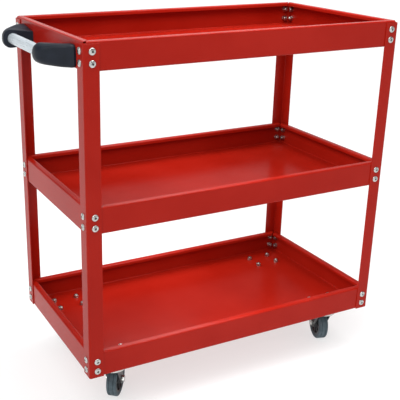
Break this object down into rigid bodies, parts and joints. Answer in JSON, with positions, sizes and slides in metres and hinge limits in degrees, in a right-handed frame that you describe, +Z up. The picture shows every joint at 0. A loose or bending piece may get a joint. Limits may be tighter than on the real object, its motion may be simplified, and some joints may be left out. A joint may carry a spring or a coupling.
{
  "type": "tool cart",
  "caption": "Three-tier steel tool cart: folded trays bolted to angle legs, a tube push handle in moulded brackets at one end, and swivel casters that roll.",
  "frame": {"origin": "on the floor under the middle of the whole cart's box", "axes": "+Z up, X along the long sides with the handle at the -X end, Y across the cart"},
  "size_m": [0.7492, 0.3784, 0.754],
  "materials": {
    "red_paint": "glossy powder coat",
    "zinc": "bright zinc plate",
    "black_plastic": "fine moulded texture, satin",
    "tube_grey": "satin",
    "fork_black": "satin black",
    "tyre_grey": "matt grey rubber",
    "wheel_core": "moulded"
  },
  "bodies": {
    "frame": {"top_tray_floor": "red_paint", "top_tray_walls": "red_paint", "top_tray_rims": "red_paint", "middle_tray_floor": "red_paint", "middle_tray_walls": "red_paint", "middle_tray_rims": "red_paint", "bottom_tray_floor": "red_paint", "bottom_tray_walls": "red_paint", "bottom_tray_rims": "red_paint", "leg_front_left": "red_paint", "leg_front_right": "red_paint", "leg_back_left": "red_paint", "leg_back_right": "red_paint", "handle_bracket_front": "black_plastic", "handle_bracket_back": "black_plastic", "handle_tube": "tube_grey", "handle_screws": "zinc", "frame_bolts": "zinc", "caster_bolts": "zinc", "nuts": "zinc", "caster_fl_plate": "zinc", "caster_fl_kingpin": "zinc", "caster_fr_plate": "zinc", "caster_fr_kingpin": "zinc", "caster_bl_plate": "zinc", "caster_bl_kingpin": "zinc", "caster_br_plate": "zinc", "caster_br_kingpin": "zinc"},
    "caster_fl_swivel": {"caster_fl_balls": "zinc", "caster_fl_race": "zinc", "caster_fl_fork": "fork_black", "caster_fl_axle": "zinc", "caster_fl_axle_nut": "zinc", "caster_fl_bushing": "zinc"},
    "caster_fl_wheel": {"caster_fl_core": "wheel_core", "caster_fl_tyre": "tyre_grey"},
    "caster_fr_swivel": {"caster_fr_balls": "zinc", "caster_fr_race": "zinc", "caster_fr_fork": "fork_black", "caster_fr_axle": "zinc", "caster_fr_axle_nut": "zinc", "caster_fr_bushing": "zinc"},
    "caster_fr_wheel": {"caster_fr_core": "wheel_core", "caster_fr_tyre": "tyre_grey"},
    "caster_bl_swivel": {"caster_bl_balls": "zinc", "caster_bl_race": "zinc", "caster_bl_fork": "fork_black", "caster_bl_axle": "zinc", "caster_bl_axle_nut": "zinc", "caster_bl_bushing": "zinc"},
    "caster_bl_wheel": {"caster_bl_core": "wheel_core", "caster_bl_tyre": "tyre_grey"},
    "caster_br_swivel": {"caster_br_balls": "zinc", "caster_br_race": "zinc", "caster_br_fork": "fork_black", "caster_br_axle": "zinc", "caster_br_axle_nut": "zinc", "caster_br_bushing": "zinc"},
    "caster_br_wheel": {"caster_br_core": "wheel_core", "caster_br_tyre": "tyre_grey"}
  },
  "joints": [
    {"name": "fl_swivel", "type": "hinge", "parent": "frame", "child": "caster_fl_swivel", "pos_m": [-0.2436, -0.126, 0.09], "axis": [0, 0, 1], "continuous": true},
    {"name": "fl_roll", "type": "hinge", "parent": "caster_fl_swivel", "child": "caster_fl_wheel", "pos_m": [-0.23074, -0.11068, 0.0375], "axis": [-0.766, 0.6428, 0], "continuous": true},
    {"name": "fr_swivel", "type": "hinge", "parent": "frame", "child": "caster_fr_swivel", "pos_m": [0.2964, -0.126, 0.09], "axis": [0, 0, 1], "continuous": true},
    {"name": "fr_roll", "type": "hinge", "parent": "caster_fr_swivel", "child": "caster_fr_wheel", "pos_m": [0.30258, -0.10698, 0.0375], "axis": [-0.9511, 0.309, 0], "continuous": true},
    {"name": "bl_swivel", "type": "hinge", "parent": "frame", "child": "caster_bl_swivel", "pos_m": [-0.2436, 0.126, 0.09], "axis": [0, 0, 1], "continuous": true},
    {"name": "bl_roll", "type": "hinge", "parent": "caster_bl_swivel", "child": "caster_bl_wheel", "pos_m": [-0.23483, 0.14398, 0.0375], "axis": [-0.8988, 0.4384, 0], "continuous": true},
    {"name": "br_swivel", "type": "hinge", "parent": "frame", "child": "caster_br_swivel", "pos_m": [0.2964, 0.126, 0.09], "axis": [0, 0, 1], "continuous": true},
    {"name": "br_roll", "type": "hinge", "parent": "caster_br_swivel", "child": "caster_br_wheel", "pos_m": [0.307, 0.14296, 0.0375], "axis": [-0.848, 0.5299, 0], "continuous": true}
  ]
}
